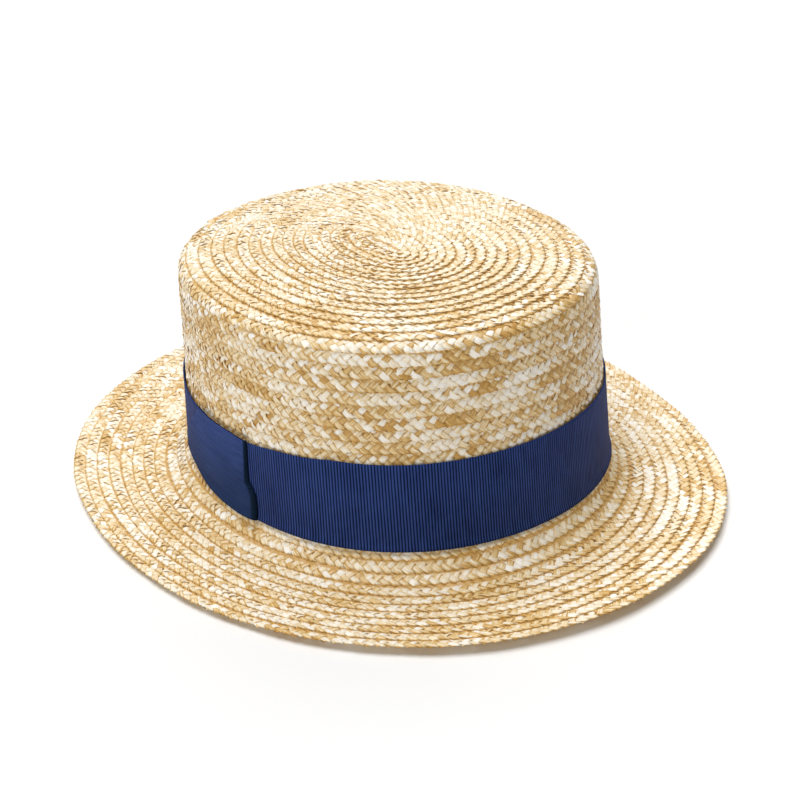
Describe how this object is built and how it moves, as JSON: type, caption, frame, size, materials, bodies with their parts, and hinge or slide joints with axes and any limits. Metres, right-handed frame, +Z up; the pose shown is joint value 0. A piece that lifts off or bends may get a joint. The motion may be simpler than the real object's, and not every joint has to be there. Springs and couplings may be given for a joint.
{
  "type": "straw boater hat",
  "caption": "Flat-topped oval hat of sewn straw plait with a wide flat brim and a dark ribbon band, worn on the head as light summer headwear.",
  "frame": {"origin": "on the surface the hat rests on, below the middle of its overall length and width", "axes": "+Z up through the crown, -Y towards the hat's front, +X towards the wearer's left"},
  "size_m": [0.274, 0.3058, 0.1034],
  "materials": {
    "straw_plait": "natural straw plait, satin",
    "navy_ribbon": "ribbed ribbon, matte with a slight sheen"
  },
  "bodies": {
    "root": {"crown": "straw_plait", "brim": "straw_plait", "ribbon_band": "navy_ribbon", "ribbon_wrap": "navy_ribbon"}
  },
  "joints": []
}
